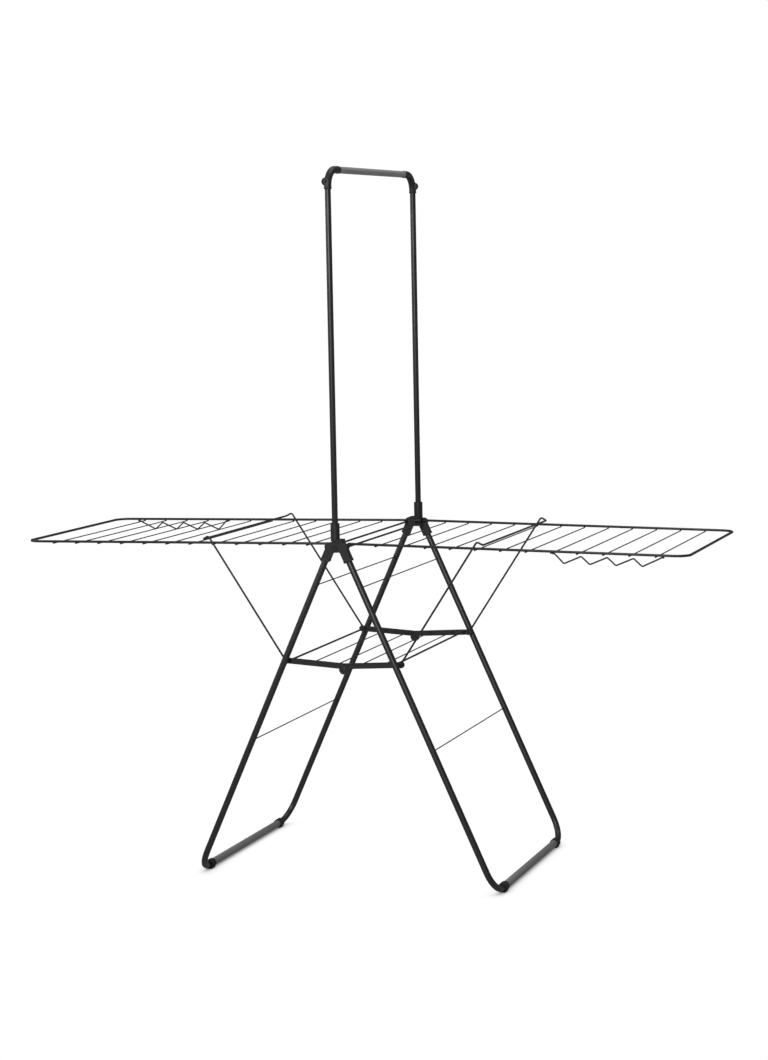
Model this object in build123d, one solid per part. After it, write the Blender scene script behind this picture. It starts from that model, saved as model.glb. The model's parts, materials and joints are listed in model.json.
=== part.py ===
from build123d import *
import os
from math import atan2, cos, degrees, radians, sin, tan

# Free-standing clothes airer: two scissor leg frames, two fold-down wings held by wire
# bows, a folding shelf that spreads the legs, and a lift-out hanging rod.
# X runs along the length, Y across, Z up from the floor. The left half is the right half
# turned half a turn about Z, so only the right half is drawn. All sizes in millimetres.

# Overall sizes
half_length = 873.8          # middle of the airer to the centre of a wing's outer wire
rail_half_spacing = 275.0    # middle of the airer to the centre of a wing's side rail
pin_height = 855.25          # height of the hinge pins and of the wing axles
apex_rise = 43.15            # the leg lines meet this far above the hinge pin
foot_half_spread = 399.9     # middle of the airer to the centre of a foot bar
rod_height = 1780.5          # centre of the hanging rod

# Legs
leg_r = 8.0
leg_wall = 1.0
leg_bend = 55.0              # centre-line radius at the bottom corners
leg_top = 54.0               # the tube starts this far down the leg line from the apex
leg_wire_r = 1.5
leg_wire_drops = (98.25, 498.25)   # the two tie wires below the hinge pins
sleeve_wall = 1.5            # grey sleeve over the foot bar
cap_wall = 4.0               # foot cap round the foot bar
cap_length = 24.0
cap_flat = 16.0              # width of the flat pad under each foot cap
cap_clear = 1.0              # foot cap from the end of the bend

# Hinge
pin_r = 4.0
pin_head_r = 7.0
pin_head = 2.4
running_gap = 0.05           # radial clearance of every pin, axle and push fit
side_gap = 0.4               # clearance between faces that slide past each other
core_boss_r = 10.5
core_back = 10.0             # inner face of the hinge core inside the upright's axis
neck_half = 6.0              # half width of the post between the boss and the socket
neck_height = 6.0
web_past_upright = 9.0       # web under the socket, beside the wing's rail
web_gap = 0.75               # web from the side of the rail
web_over_axle = 1.5          # web above the wing's inner bar
casting_boss_r = 11.5
casting_lug_r = 10.5
casting_face_wall = 1.8      # casting over the tube, on its faces
casting_side_wall = 2.0      # casting over the tube, in the leg's own plane
casting_fillet = 1.8
casting_gap = 4.5            # inner casting from the side of the wing's rail
bore_wall = 1.0              # wall left at the blind end of an axle bore
cut_over = 1.0               # cuts run this far past the faces that they open
casting_top = 42.0           # start of the sleeve along the leg line
casting_end = 85.0           # end of the sleeve along the leg line

# Hanging rod
upright_x = 16.5
upright_r = 7.5
tube_wall = 1.0
socket_wall = 4.0
socket_rise = 55.75          # top of the socket above the hinge pin
socket_over_rail = 2.0       # underside of the socket above the wing's rail
socket_inset = 0.85          # side of the socket inside the core's outer face
socket_screw_drop = 14.0
socket_floor = 3.6
elbow_wall = 1.7
elbow_bend = 42.0
elbow_drop = 48.0            # lower end of the elbow below the rod's centre
elbow_reach = 62.0           # inner end of the elbow from the upright's axis
rod_sleeve_wall = 1.1
rod_end_gap = 1.0            # end of the rod's tube from the elbow's bend
knob_r = 10.0
knob_out = 4.0
knob_drop = 30.0
knob_inset = 1.2             # face of the elbow's boss inside the side of the elbow
elbow_screw_out = 5.0
screw_r = 3.0
screw_head = 1.6

# Wings
wing_droop = 0.8             # degrees that an open wing slopes down outwards
axle_x = 23.0
axle_r = 2.5
rail_start = 5.0             # end of a side rail past the inner bar that it lies on
rail_r = 3.25
rail_corner = 35.0
wire_r = 1.5
wire_first = 90.56
wire_pitch = 64.18
wire_end_room = 40.0         # no cross wire is nearer than this to the outer wire
wire_overhang = 0.25         # end of a cross wire past the side of the rail
zigzag_r = 2.0
zigzag_gaps = 4              # the zigzag spans the last gaps between cross wires
zigzag_hang = 6.25           # tops of the zigzag under the bottom of the rail
zigzag_drop = 18.75          # depth of each V
zigzag_shift = 10.5          # each top past its cross wire, away from the hinge
zigzag_foot = 6.0            # each end lies this far along the underside of the rail
zigzag_clear = 3.0           # first end from its cross wire
zigzag_tail = 21.0           # last end past the last cross wire
zigzag_bend = 4.0

# Wire bows that prop the wings
stay_r = 2.5
stay_gap = 0.5
stay_bend = 6.0
bow_x = 370.0
bow_gap = 4.0                # bow above the wing's side rail
bow_peak_back = 14.6         # peak of the shoulder, towards the hinge from the bow
bow_peak_rise = 8.0
eye_wall = 4.05
eye_bite = 1.6               # the arm starts this far into the eye's ring
eye_under = 0.3              # each face of the eye inside the side of the wire
stud_drop = 293.25           # studs of the bows and the shelf below the hinge pins
stud_r = 2.4
stud_head_over = 1.6         # head of a stud past its shank
stud_head = 1.8

# Shelf
bar_height = 14.0
bar_outer_gap = 3.0          # shelf bar inside the bow's arm
bar_thick = 7.6
bar_end_over = 1.0           # round end of a shelf bar past half its height
leaf_gap = 0.5               # end of a shelf bar from the middle
shelf_sag = 9.0              # middle of the shelf below its ends
shelf_pivot_drop = 8.7       # pivot below the bars' centre line
shelf_boss_r = 12.0
pivot_r = 2.4
shelf_relief = 0.5
shelf_wire_lift = 3.0
shelf_wire_r = 1.5
shelf_end_wire_r = 2.5
left_shelf_wires = (80.0, 17.0)
right_shelf_wires = (46.0, 108.0)
shelf_end_wire = 10.6        # end wire inside the stud

# Sizes and places that follow from the ones above
cap_r = leg_r + cap_wall
foot_height = cap_r          # the pad under the cap is as deep as the cap's ring
casting_half = leg_r + casting_face_wall
casting_width = 2 * (leg_r + casting_side_wall)
socket_r = upright_r + socket_wall
socket_top = pin_height + socket_rise
rail_lift = axle_r + rail_r  # the side rails lie on top of the inner bar
socket_lift = rail_lift + rail_r + socket_over_rail
elbow_r = upright_r + elbow_wall
knob_half = elbow_r - knob_inset
eye_r = stud_r + running_gap + eye_wall
eye_half = stay_r - eye_under
stud_head_r = stud_r + stud_head_over
stud_height = pin_height - stud_drop
bar_end_r = bar_height / 2 + bar_end_over
wire_count = int((half_length - wire_end_room - wire_first) / wire_pitch) + 1
apex_height = pin_height + apex_rise
lean = atan2(foot_half_spread, apex_height - foot_height)
stay_y = rail_half_spacing + rail_r + wire_overhang + stay_gap + stay_r
inner_leg_y = max(stay_y + stay_r + stay_gap + leg_r,
                  rail_half_spacing + rail_r + casting_gap + casting_half)
outer_leg_y = inner_leg_y + 2 * casting_half + side_gap
core_y_outer = inner_leg_y - casting_half - side_gap
upright_y = core_y_outer - socket_inset - socket_r
core_y_inner = upright_y - core_back
stud_x = (apex_height - stud_height) * tan(lean)
shelf_y_outer = stay_y - stay_r - bar_outer_gap
shelf_y_inner = shelf_y_outer - bar_thick
shelf_y_mid = (shelf_y_outer + shelf_y_inner) / 2
shelf_mid_z = stud_height - shelf_sag
shelf_pivot_z = shelf_mid_z - shelf_pivot_drop
cap_inset = leg_bend + cap_clear


def on_leg(distance):
    """X and Z of a point on the right leg line, measured down from the apex."""
    return distance * sin(lean), apex_height - distance * cos(lean)


def down_leg(height):
    """Distance down the leg line at a given height."""
    return (apex_height - height) / cos(lean)


def wire(points, radius, bends, wall=0.0):
    """Round wire or tube along a path with a fillet at each corner."""
    path = FilletPolyline(*points, radius=bends) if len(points) > 2 else Line(*points)
    section = Circle(radius)
    if wall:
        section -= Circle(radius - wall)
    return sweep(Plane(origin=path @ 0, z_dir=path % 0) * section, path=path)


def bar_y(x, z, y_from, y_to, radius):
    """Round bar parallel to Y between two Y positions."""
    low = min(y_from, y_to)
    place = Pos(x, low, z) * Rot(-90, 0, 0)
    return place * Cylinder(radius, abs(y_to - y_from), align=(Align.CENTER, Align.CENTER, Align.MIN))


def plate_y(profile, y_from, y_to):
    """Profile drawn with X and Z as its two axes, given a thickness along Y."""
    low, high = min(y_from, y_to), max(y_from, y_to)
    plane = Plane(origin=(0, high, 0), x_dir=(1, 0, 0), z_dir=(0, -1, 0))
    return extrude(plane * profile, amount=high - low)


def turned(shape):
    """The same piece on the other side of the airer: half a turn about Z."""
    return Rot(0, 0, 180) * shape


def save(name, *shapes):
    """Write one node, one or more separate solids."""
    solids = [s for shape in shapes for s in shape.solids()]
    export_step(solids[0] if len(solids) == 1 else Compound(children=solids), f"parts/{name}.step")


# Leg frames ---------------------------------------------------------------------------

def casting_profile():
    """Right casting seen along Y: pin boss, wing axle lug and leg sleeve."""
    boss = Pos(0, pin_height) * Circle(casting_boss_r)
    lug = Pos(axle_x, pin_height) * Circle(casting_lug_r)
    middle = make_hull(boss.edges() + lug.edges())
    mid_x, mid_z = on_leg((casting_top + casting_end) / 2)
    sleeve = Pos(mid_x, mid_z) * Rot(0, 0, degrees(lean))
    sleeve *= RectangleRounded(casting_width, casting_end - casting_top, casting_fillet)
    return middle + sleeve


def casting(y_mid, axle_from, axle_to):
    """Hinge casting on one leg, bored for the pin, the wing axle and the tube."""
    body = plate_y(casting_profile(), y_mid - casting_half, y_mid + casting_half)
    through = casting_half + cut_over
    body -= bar_y(0, pin_height, y_mid - through, y_mid + through, pin_r + running_gap)
    body -= bar_y(axle_x, pin_height, axle_from, axle_to, axle_r + running_gap)
    top_x, top_z = on_leg(leg_top)
    end_x, end_z = on_leg(casting_end + cut_over)
    body -= wire([(top_x, y_mid, top_z), (end_x, y_mid, end_z)], leg_r + running_gap, 0)
    return body


def leg_tube():
    """U-shaped leg: outer leg on the near side, foot bar, inner leg on the far side."""
    top_x, top_z = on_leg(leg_top)
    foot_x = foot_half_spread
    points = [(top_x, -outer_leg_y, top_z), (foot_x, -outer_leg_y, foot_height),
              (foot_x, inner_leg_y, foot_height), (top_x, inner_leg_y, top_z)]
    return wire(points, leg_r, leg_bend, leg_wall)


def foot_cap(y_from, y_to):
    """Foot cap: a ring round the foot bar with a flat pad on the floor."""
    ring = Pos(foot_half_spread, foot_height) * Circle(cap_r)
    pad = Pos(foot_half_spread, foot_height / 2) * Rectangle(cap_flat, foot_height)
    body = plate_y(ring + pad, y_from, y_to)
    return body - bar_y(foot_half_spread, foot_height, y_from - cut_over, y_to + cut_over,
                        leg_r + running_gap)


def foot_pieces():
    """Grey sleeve and the two caps that hold it on the foot bar."""
    near = -outer_leg_y + cap_inset
    far = inner_leg_y - cap_inset
    low, high = near + cap_length, far - cap_length
    sleeve = bar_y(foot_half_spread, foot_height, low, high, leg_r + sleeve_wall)
    sleeve -= bar_y(foot_half_spread, foot_height, low - cut_over, high + cut_over,
                    leg_r + running_gap)
    return sleeve, foot_cap(near, low), foot_cap(high, far)


def leg_wires():
    """Two thin wires that tie the legs of one frame together."""
    made = []
    for drop in leg_wire_drops:
        x, z = on_leg(down_leg(pin_height - drop))
        made.append(bar_y(x, z, -outer_leg_y + leg_r, inner_leg_y - leg_r, leg_wire_r))
    return made


def studs(inner_end):
    """Headed studs on the right frame, from each leg inwards to a given Y."""
    made = []
    for face, way in ((-outer_leg_y + leg_r, -1), (inner_leg_y - leg_r, 1)):
        shank = bar_y(stud_x, stud_height, face, way * inner_end, stud_r)
        head = bar_y(stud_x, stud_height, way * inner_end, way * (inner_end - stud_head), stud_head_r)
        made.append(shank + head)
    return made


# Hinge core and hanging rod ------------------------------------------------------------

def core():
    """Near hinge core: boss on the pin and a post that carries the rod's socket."""
    floor = pin_height + socket_lift
    boss = Pos(0, pin_height) * Circle(core_boss_r)
    top = floor + neck_height
    post = Pos(0, (pin_height + top) / 2) * Rectangle(2 * neck_half, top - pin_height)
    low, high = -upright_x, neck_half
    neck = Pos((low + high) / 2, floor + neck_height / 2) * Rectangle(high - low, neck_height)
    body = plate_y(boss + post + neck, -core_y_outer, -core_y_inner)
    low, sill = -upright_x - web_past_upright, pin_height + axle_r + web_over_axle
    web = Pos(low / 2, (sill + floor) / 2) * Rectangle(-low, floor - sill)
    body += plate_y(web, -rail_half_spacing + rail_r + web_gap, -core_y_inner)
    body += Pos(-upright_x, -upright_y, floor) * Cylinder(
        socket_r, socket_top - floor, align=(Align.CENTER, Align.CENTER, Align.MIN))
    body -= Pos(-upright_x, -upright_y, floor + socket_floor) * Cylinder(
        upright_r + running_gap, socket_top, align=(Align.CENTER, Align.CENTER, Align.MIN))
    return body - bar_y(0, pin_height, -core_y_outer - cut_over, -core_y_inner + cut_over, pin_r)


def hinge_pin():
    """Near hinge pin through the core and both castings, headed outside."""
    outside = outer_leg_y + casting_half + side_gap
    pin = bar_y(0, pin_height, -outside, -core_y_inner, pin_r)
    return pin + bar_y(0, pin_height, -outside - pin_head, -outside, pin_head_r)


def socket_screw():
    """Screw head on the near socket, facing the middle of the airer."""
    face = -upright_y + socket_r
    return bar_y(-upright_x, socket_top - socket_screw_drop, face, face + screw_head, screw_r)


def elbow():
    """Near elbow from the upright to the rod, with a round boss on its outer side."""
    along = Vector(upright_x, upright_y, 0).normalized()
    corner = Vector(-upright_x, -upright_y, rod_height)
    points = [corner - Vector(0, 0, elbow_drop), corner, corner + along * elbow_reach]
    body = wire(points, elbow_r, elbow_bend)
    body += bar_y(-upright_x - knob_out, rod_height - knob_drop,
                  -upright_y - knob_half, -upright_y + knob_half, knob_r)
    return body - wire(points, upright_r + running_gap, elbow_bend)


def upright():
    """Near upright tube from its socket into the elbow."""
    foot = pin_height + socket_lift + socket_floor
    top = rod_height - elbow_bend
    return wire([(-upright_x, -upright_y, foot), (-upright_x, -upright_y, top)], upright_r, 0, tube_wall)


def top_rod():
    """Hanging rod: a thick sleeve between the elbows on a tube that plugs into them."""
    along = Vector(upright_x, upright_y, 0).normalized()
    half = Vector(upright_x, upright_y, 0).length
    middle = Vector(0, 0, rod_height)
    core_half = half - elbow_bend - rod_end_gap
    sleeve_half = half - elbow_reach
    tube = wire([middle - along * core_half, middle + along * core_half], upright_r, 0, tube_wall)
    sleeve = wire([middle - along * sleeve_half, middle + along * sleeve_half],
                  upright_r + rod_sleeve_wall, 0, rod_sleeve_wall)
    return tube + sleeve


def elbow_screw():
    """Screw head on the outer face of the near elbow's boss."""
    face = -upright_y - knob_half
    return bar_y(-upright_x - elbow_screw_out, rod_height - knob_drop, face - screw_head, face, screw_r)


# Wings ---------------------------------------------------------------------------------

def in_wing(shape):
    """Place a piece drawn flat, from the axle and level with the rails, as the open right wing."""
    return Pos(axle_x, 0, pin_height) * Rot(0, wing_droop, 0) * Pos(0, 0, rail_lift) * shape


def wing_rail():
    """Side rails and outer end of the wing, one bent wire."""
    end = half_length - axle_x
    points = [(-rail_start, -rail_half_spacing, 0), (end, -rail_half_spacing, 0),
              (end, rail_half_spacing, 0), (-rail_start, rail_half_spacing, 0)]
    return in_wing(wire(points, rail_r, rail_corner))


def wire_places():
    """Distance of each cross wire from the wing's axle."""
    return [wire_first - axle_x + i * wire_pitch for i in range(wire_count)]


def wing_wires():
    """Cross wires welded under the rails."""
    reach = rail_half_spacing + rail_r + wire_overhang
    drop = rail_r + wire_r
    return [in_wing(bar_y(u, -drop, -reach, reach, wire_r)) for u in wire_places()]


def wing_axle():
    """Inner bar of the wing, which turns in the castings of its own leg frame."""
    return bar_y(axle_x, pin_height, -outer_leg_y, inner_leg_y, axle_r)


def zigzag():
    """Zigzag wire for coat hangers, with both ends lying under the near rail."""
    level = -(rail_r + zigzag_r)
    top = -(rail_r + zigzag_hang)
    bottom = top - zigzag_drop
    places = wire_places()[-zigzag_gaps - 1:]
    start, end = places[0] + zigzag_clear, places[-1] + zigzag_tail
    flat = [(start, level), (start + zigzag_foot, level)]
    for place, after in zip(places, places[1:]):
        flat.append(((place + after) / 2, bottom))
        if after != places[-1]:
            flat.append((after + zigzag_shift, top))
    flat += [(end - zigzag_foot, level), (end, level)]
    return in_wing(wire([(u, -rail_half_spacing, z) for u, z in flat], zigzag_r, zigzag_bend))


def stay():
    """Wire bow: two arms from the leg studs up beside the wing and a bow over it."""
    rail_z = (pin_height - (bow_x - axle_x) * sin(radians(wing_droop))
              + rail_lift * cos(radians(wing_droop)))
    bow_z = rail_z + rail_r + bow_gap + stay_r
    peak = (bow_x - bow_peak_back, bow_z + bow_peak_rise)
    start = Vector(stud_x, 0, stud_height)
    along = (Vector(peak[0], 0, peak[1]) - start).normalized()
    foot = start + along * (stud_r + running_gap + eye_bite)
    points = [(foot.X, -stay_y, foot.Z), (peak[0], -stay_y, peak[1]), (bow_x, -stay_y, bow_z),
              (bow_x, stay_y, bow_z), (peak[0], stay_y, peak[1]), (foot.X, stay_y, foot.Z)]
    body = wire(points, stay_r, stay_bend)
    for way in (-1, 1):
        body += bar_y(stud_x, stud_height, way * (stay_y - eye_half), way * (stay_y + eye_half), eye_r)
        through = eye_half + cut_over
        body -= bar_y(stud_x, stud_height, way * (stay_y - through), way * (stay_y + through),
                      stud_r + running_gap)
    return body


# Shelf ---------------------------------------------------------------------------------

def shelf_line_z(x):
    """Height of the shelf bars' centre line at a distance from the middle."""
    return shelf_mid_z + shelf_sag * abs(x) / stud_x


def shelf_bar(side, way):
    """One shelf bar; side is -1 or 1 for left or right, way for near or far."""
    tilt = degrees(atan2(shelf_sag, stud_x)) * side
    start, end = side * leaf_gap, side * stud_x
    mid = (start + end) / 2
    strip = Pos(mid, shelf_line_z(mid)) * Rot(0, 0, tilt) * Rectangle(abs(end - start), bar_height)
    eye = Pos(end, stud_height) * Circle(bar_end_r)
    body = plate_y(strip + eye, way * shelf_y_inner, way * shelf_y_outer)
    keep = (shelf_y_mid, shelf_y_outer) if side < 0 else (shelf_y_inner, shelf_y_mid)
    lose = (shelf_y_inner, shelf_y_mid) if side < 0 else (shelf_y_mid, shelf_y_outer)
    gap = side_gap / 2
    body -= bar_y(0, shelf_pivot_z, way * (lose[0] - gap), way * (lose[1] + gap),
                  shelf_boss_r + shelf_relief)
    keep_low = keep[0] + (gap if side < 0 else 0)
    keep_high = keep[1] - (gap if side > 0 else 0)
    body += bar_y(0, shelf_pivot_z, way * keep_low, way * keep_high, shelf_boss_r)
    bore = running_gap if side > 0 else 0
    body -= bar_y(0, shelf_pivot_z, way * (shelf_y_inner - cut_over), way * (shelf_y_outer + cut_over),
                  pivot_r + bore)
    return body - bar_y(end, stud_height, way * (shelf_y_inner - cut_over), way * (shelf_y_outer + cut_over),
                        stud_r + running_gap)


def shelf_wires(side, places):
    """Thin shelf wires and the thicker wire beside the leg."""
    made = []
    for x in places:
        made.append(bar_y(side * x, shelf_line_z(x) + shelf_wire_lift, -shelf_y_inner, shelf_y_inner,
                          shelf_wire_r))
    x = stud_x - shelf_end_wire
    made.append(bar_y(side * x, shelf_line_z(x) + shelf_wire_lift, -shelf_y_inner, shelf_y_inner,
                      shelf_end_wire_r))
    return made


def shelf_pivots():
    """Pivot pins of the shelf, fixed in the left bars."""
    return [bar_y(0, shelf_pivot_z, way * shelf_y_inner, way * shelf_y_outer, pivot_r)
            for way in (-1, 1)]


def main():
    os.makedirs("parts", exist_ok=True)
    reach_in = shelf_y_inner - side_gap
    short = shelf_y_outer + side_gap + stud_head
    sleeve, cap_near, cap_far = foot_pieces()
    right = {
        "leg_tube": [leg_tube()],
        "casting_outer": [casting(-outer_leg_y, -outer_leg_y - casting_half + bore_wall, -inner_leg_y)],
        "casting_inner": [casting(inner_leg_y, inner_leg_y - casting_half - cut_over,
                                  inner_leg_y + casting_half - bore_wall)],
        "foot_sleeve": [sleeve],
        "foot_caps": [cap_near, cap_far],
        "leg_wire_upper": [leg_wires()[0]],
        "leg_wire_lower": [leg_wires()[1]],
        "wing_rail": [wing_rail()],
        "wing_axle": [wing_axle()],
        "wing_wires": wing_wires(),
        "wing_zigzag": [zigzag()],
        "wing_bow": [stay()],
    }
    for name, shapes in right.items():
        save("right_" + name, *shapes)
        save("left_" + name, *[turned(s) for s in shapes])
    save("right_studs", *studs(short))
    save("left_studs", *[turned(s) for s in studs(reach_in)])
    pairs = {"hinge_core": core(), "hinge_pin": hinge_pin(), "upright": upright(), "elbow": elbow()}
    for name, shape in pairs.items():
        save(name + "_near", shape)
        save(name + "_far", turned(shape))
    save("socket_screws", socket_screw(), turned(socket_screw()))
    save("elbow_screws", elbow_screw(), turned(elbow_screw()))
    save("hanging_rod", top_rod())
    for side, label, places in ((-1, "left", left_shelf_wires), (1, "right", right_shelf_wires)):
        save(f"{label}_shelf_bar_near", shelf_bar(side, -1))
        save(f"{label}_shelf_bar_far", shelf_bar(side, 1))
        save(f"{label}_shelf_wires", *shelf_wires(side, places))
    save("shelf_pivots", *shelf_pivots())


main()
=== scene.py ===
"""Looks of a free-standing winged clothes airer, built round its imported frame.

Each sub-assembly is a class that reads its places from the frame, models its pieces in
metres with mesh operators and dresses them in procedural finishes.
"""

import json
import logging
from dataclasses import dataclass, field
from enum import Enum
from math import atan2, cos, pi, radians, sin, tan

import bmesh
import bpy
from mathutils import Matrix, Vector


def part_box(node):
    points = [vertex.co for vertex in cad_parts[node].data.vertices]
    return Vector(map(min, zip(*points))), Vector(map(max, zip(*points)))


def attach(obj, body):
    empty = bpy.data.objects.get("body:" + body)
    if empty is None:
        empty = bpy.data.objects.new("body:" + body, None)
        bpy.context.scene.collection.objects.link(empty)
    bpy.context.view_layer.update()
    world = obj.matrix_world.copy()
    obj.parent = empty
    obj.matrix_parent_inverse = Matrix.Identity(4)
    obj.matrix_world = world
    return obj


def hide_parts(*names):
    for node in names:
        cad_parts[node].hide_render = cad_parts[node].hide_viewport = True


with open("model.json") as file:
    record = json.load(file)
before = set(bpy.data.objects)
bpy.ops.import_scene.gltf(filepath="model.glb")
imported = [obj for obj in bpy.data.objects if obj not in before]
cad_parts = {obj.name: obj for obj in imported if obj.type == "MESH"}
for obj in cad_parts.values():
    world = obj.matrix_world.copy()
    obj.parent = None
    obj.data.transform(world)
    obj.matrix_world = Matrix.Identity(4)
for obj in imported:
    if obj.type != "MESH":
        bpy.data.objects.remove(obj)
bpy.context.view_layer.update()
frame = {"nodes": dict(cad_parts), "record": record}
LOG = logging.getLogger("airer")
MM = 0.001
MERGE_DISTANCE = 1e-6
FLAT_ANGLE = radians(1.0)
SHARP_ANGLE = radians(38)
BEVEL_ANGLE = radians(35)
AIM_HEIGHT = 0.9


class Side(Enum):
    """The two halves of the airer; the value is the sign of X."""

    LEFT = -1
    RIGHT = 1

    @property
    def label(self) -> str:
        """Prefix of this half's node names."""
        return self.name.lower()


class Slot(Enum):
    """Material slots of the record."""

    TUBE = "black_tube"
    WIRE = "black_wire"
    PLASTIC = "black_plastic"
    RUBBER = "black_rubber"
    SLEEVE = "grey_sleeve"
    ROD = "grey_rod"
    STEEL = "steel"


@dataclass(frozen=True)
class Sizes:
    """Sizes in metres that more than one sub-assembly uses."""

    tube_radius: float = 8 * MM
    upright_radius: float = 7.5 * MM
    rail_radius: float = 3.25 * MM
    axle_radius: float = 2.5 * MM
    wire_radius: float = 1.5 * MM
    bow_radius: float = 2.5 * MM
    droop: float = 0.8
    screw_radius: float = 3 * MM

    @property
    def rail_lift(self) -> float:
        """Height of the rails' centre over the inner bar that they lie on."""
        return self.rail_radius + self.axle_radius


SIZES = Sizes()


# Finishes ------------------------------------------------------------------------------


class NodeBuilder:
    """Adds nodes and links to one tree, with short calls."""

    def __init__(self, tree: bpy.types.NodeTree) -> None:
        """Takes the tree and empties it."""
        self.tree = tree
        tree.nodes.clear()

    def add(self, kind: str, **values: object) -> bpy.types.Node:
        """Adds a node and sets its properties and named inputs.

        Args:
            kind: Blender's name of the node type.
            values: property names, or input names with spaces as underscores.

        Returns:
            The new node.
        """
        node = self.tree.nodes.new(kind)
        for key, value in values.items():
            label = key.replace("_", " ")
            if label in node.inputs:
                node.inputs[label].default_value = value
            else:
                setattr(node, key, value)
        return node

    def link(self, out: bpy.types.NodeSocket, into: bpy.types.NodeSocket) -> None:
        """Links two sockets."""
        self.tree.links.new(out, into)


def new_group(name: str, inputs: dict[str, float], outputs: tuple[str, ...]) -> bpy.types.NodeTree:
    """Makes an empty shader group with a Vector input and named number sockets.

    Args:
        name: name of the group.
        inputs: number inputs with their defaults.
        outputs: number outputs.

    Returns:
        The node tree.
    """
    tree = bpy.data.node_groups.new(name, "ShaderNodeTree")
    tree.interface.new_socket("Vector", in_out="INPUT", socket_type="NodeSocketVector")
    for label, default in inputs.items():
        socket = tree.interface.new_socket(label, in_out="INPUT", socket_type="NodeSocketFloat")
        socket.default_value = default
    for label in outputs:
        tree.interface.new_socket(label, in_out="OUTPUT", socket_type="NodeSocketFloat")
    return tree


def grain_group() -> bpy.types.NodeTree:
    """Fine surface grain: orange peel of powder coat, or the texture of a mould.

    Returns:
        A group with Height (0 to 1) and Speck (sparse mask) outputs.
    """
    tree = new_group("Surface grain", {"Scale": 900.0, "Softness": 0.5}, ("Height", "Speck"))
    build = NodeBuilder(tree)
    entry = build.add("NodeGroupInput")
    leave = build.add("NodeGroupOutput")
    fine = build.add("ShaderNodeTexNoise", Detail=3.0)
    cells = build.add("ShaderNodeTexVoronoi", feature="SMOOTH_F1")
    mix = build.add("ShaderNodeMix", data_type="FLOAT")
    speck = build.add("ShaderNodeMapRange")
    speck.inputs["From Min"].default_value = 0.64
    speck.inputs["From Max"].default_value = 0.74
    for texture in (fine, cells):
        build.link(entry.outputs["Vector"], texture.inputs["Vector"])
        build.link(entry.outputs["Scale"], texture.inputs["Scale"])
    build.link(entry.outputs["Softness"], mix.inputs[0])
    build.link(cells.outputs["Distance"], mix.inputs[2])
    build.link(fine.outputs["Fac"], mix.inputs[3])
    build.link(fine.outputs["Fac"], speck.inputs["Value"])
    build.link(mix.outputs[0], leave.inputs["Height"])
    build.link(speck.outputs["Result"], leave.inputs["Speck"])
    return tree


def handling_group() -> bpy.types.NodeTree:
    """Broad patches where hands and cloth have polished or dusted a surface.

    Returns:
        A group with one Patch output, 0 to 1.
    """
    tree = new_group("Handling", {"Scale": 14.0, "Contrast": 0.25}, ("Patch",))
    build = NodeBuilder(tree)
    entry = build.add("NodeGroupInput")
    leave = build.add("NodeGroupOutput")
    broad = build.add("ShaderNodeTexNoise", Detail=4.0, Roughness=0.62)
    low = build.add("ShaderNodeMath", operation="SUBTRACT")
    low.inputs[0].default_value = 0.5
    high = build.add("ShaderNodeMath", operation="ADD")
    high.inputs[0].default_value = 0.5
    spread = build.add("ShaderNodeMapRange")
    build.link(entry.outputs["Vector"], broad.inputs["Vector"])
    build.link(entry.outputs["Scale"], broad.inputs["Scale"])
    build.link(entry.outputs["Contrast"], low.inputs[1])
    build.link(entry.outputs["Contrast"], high.inputs[1])
    build.link(broad.outputs["Fac"], spread.inputs["Value"])
    build.link(low.outputs[0], spread.inputs["From Min"])
    build.link(high.outputs[0], spread.inputs["From Max"])
    build.link(spread.outputs["Result"], leave.inputs["Patch"])
    return tree


def drawn_group() -> bpy.types.NodeTree:
    """Faint lines along Y, as an extruded sleeve or a drawn rod has.

    Returns:
        A group with one Line output, 0 to 1.
    """
    tree = new_group("Drawn lines", {"Across": 420.0, "Along": 3.0}, ("Line",))
    build = NodeBuilder(tree)
    entry = build.add("NodeGroupInput")
    leave = build.add("NodeGroupOutput")
    scale = build.add("ShaderNodeCombineXYZ")
    stretch = build.add("ShaderNodeVectorMath", operation="MULTIPLY")
    noise = build.add("ShaderNodeTexNoise", Detail=2.0)
    noise.inputs["Scale"].default_value = 1.0
    for axis, label in (("X", "Across"), ("Y", "Along"), ("Z", "Across")):
        build.link(entry.outputs[label], scale.inputs[axis])
    build.link(entry.outputs["Vector"], stretch.inputs[0])
    build.link(scale.outputs[0], stretch.inputs[1])
    build.link(stretch.outputs[0], noise.inputs["Vector"])
    build.link(noise.outputs["Fac"], leave.inputs["Line"])
    return tree


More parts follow.
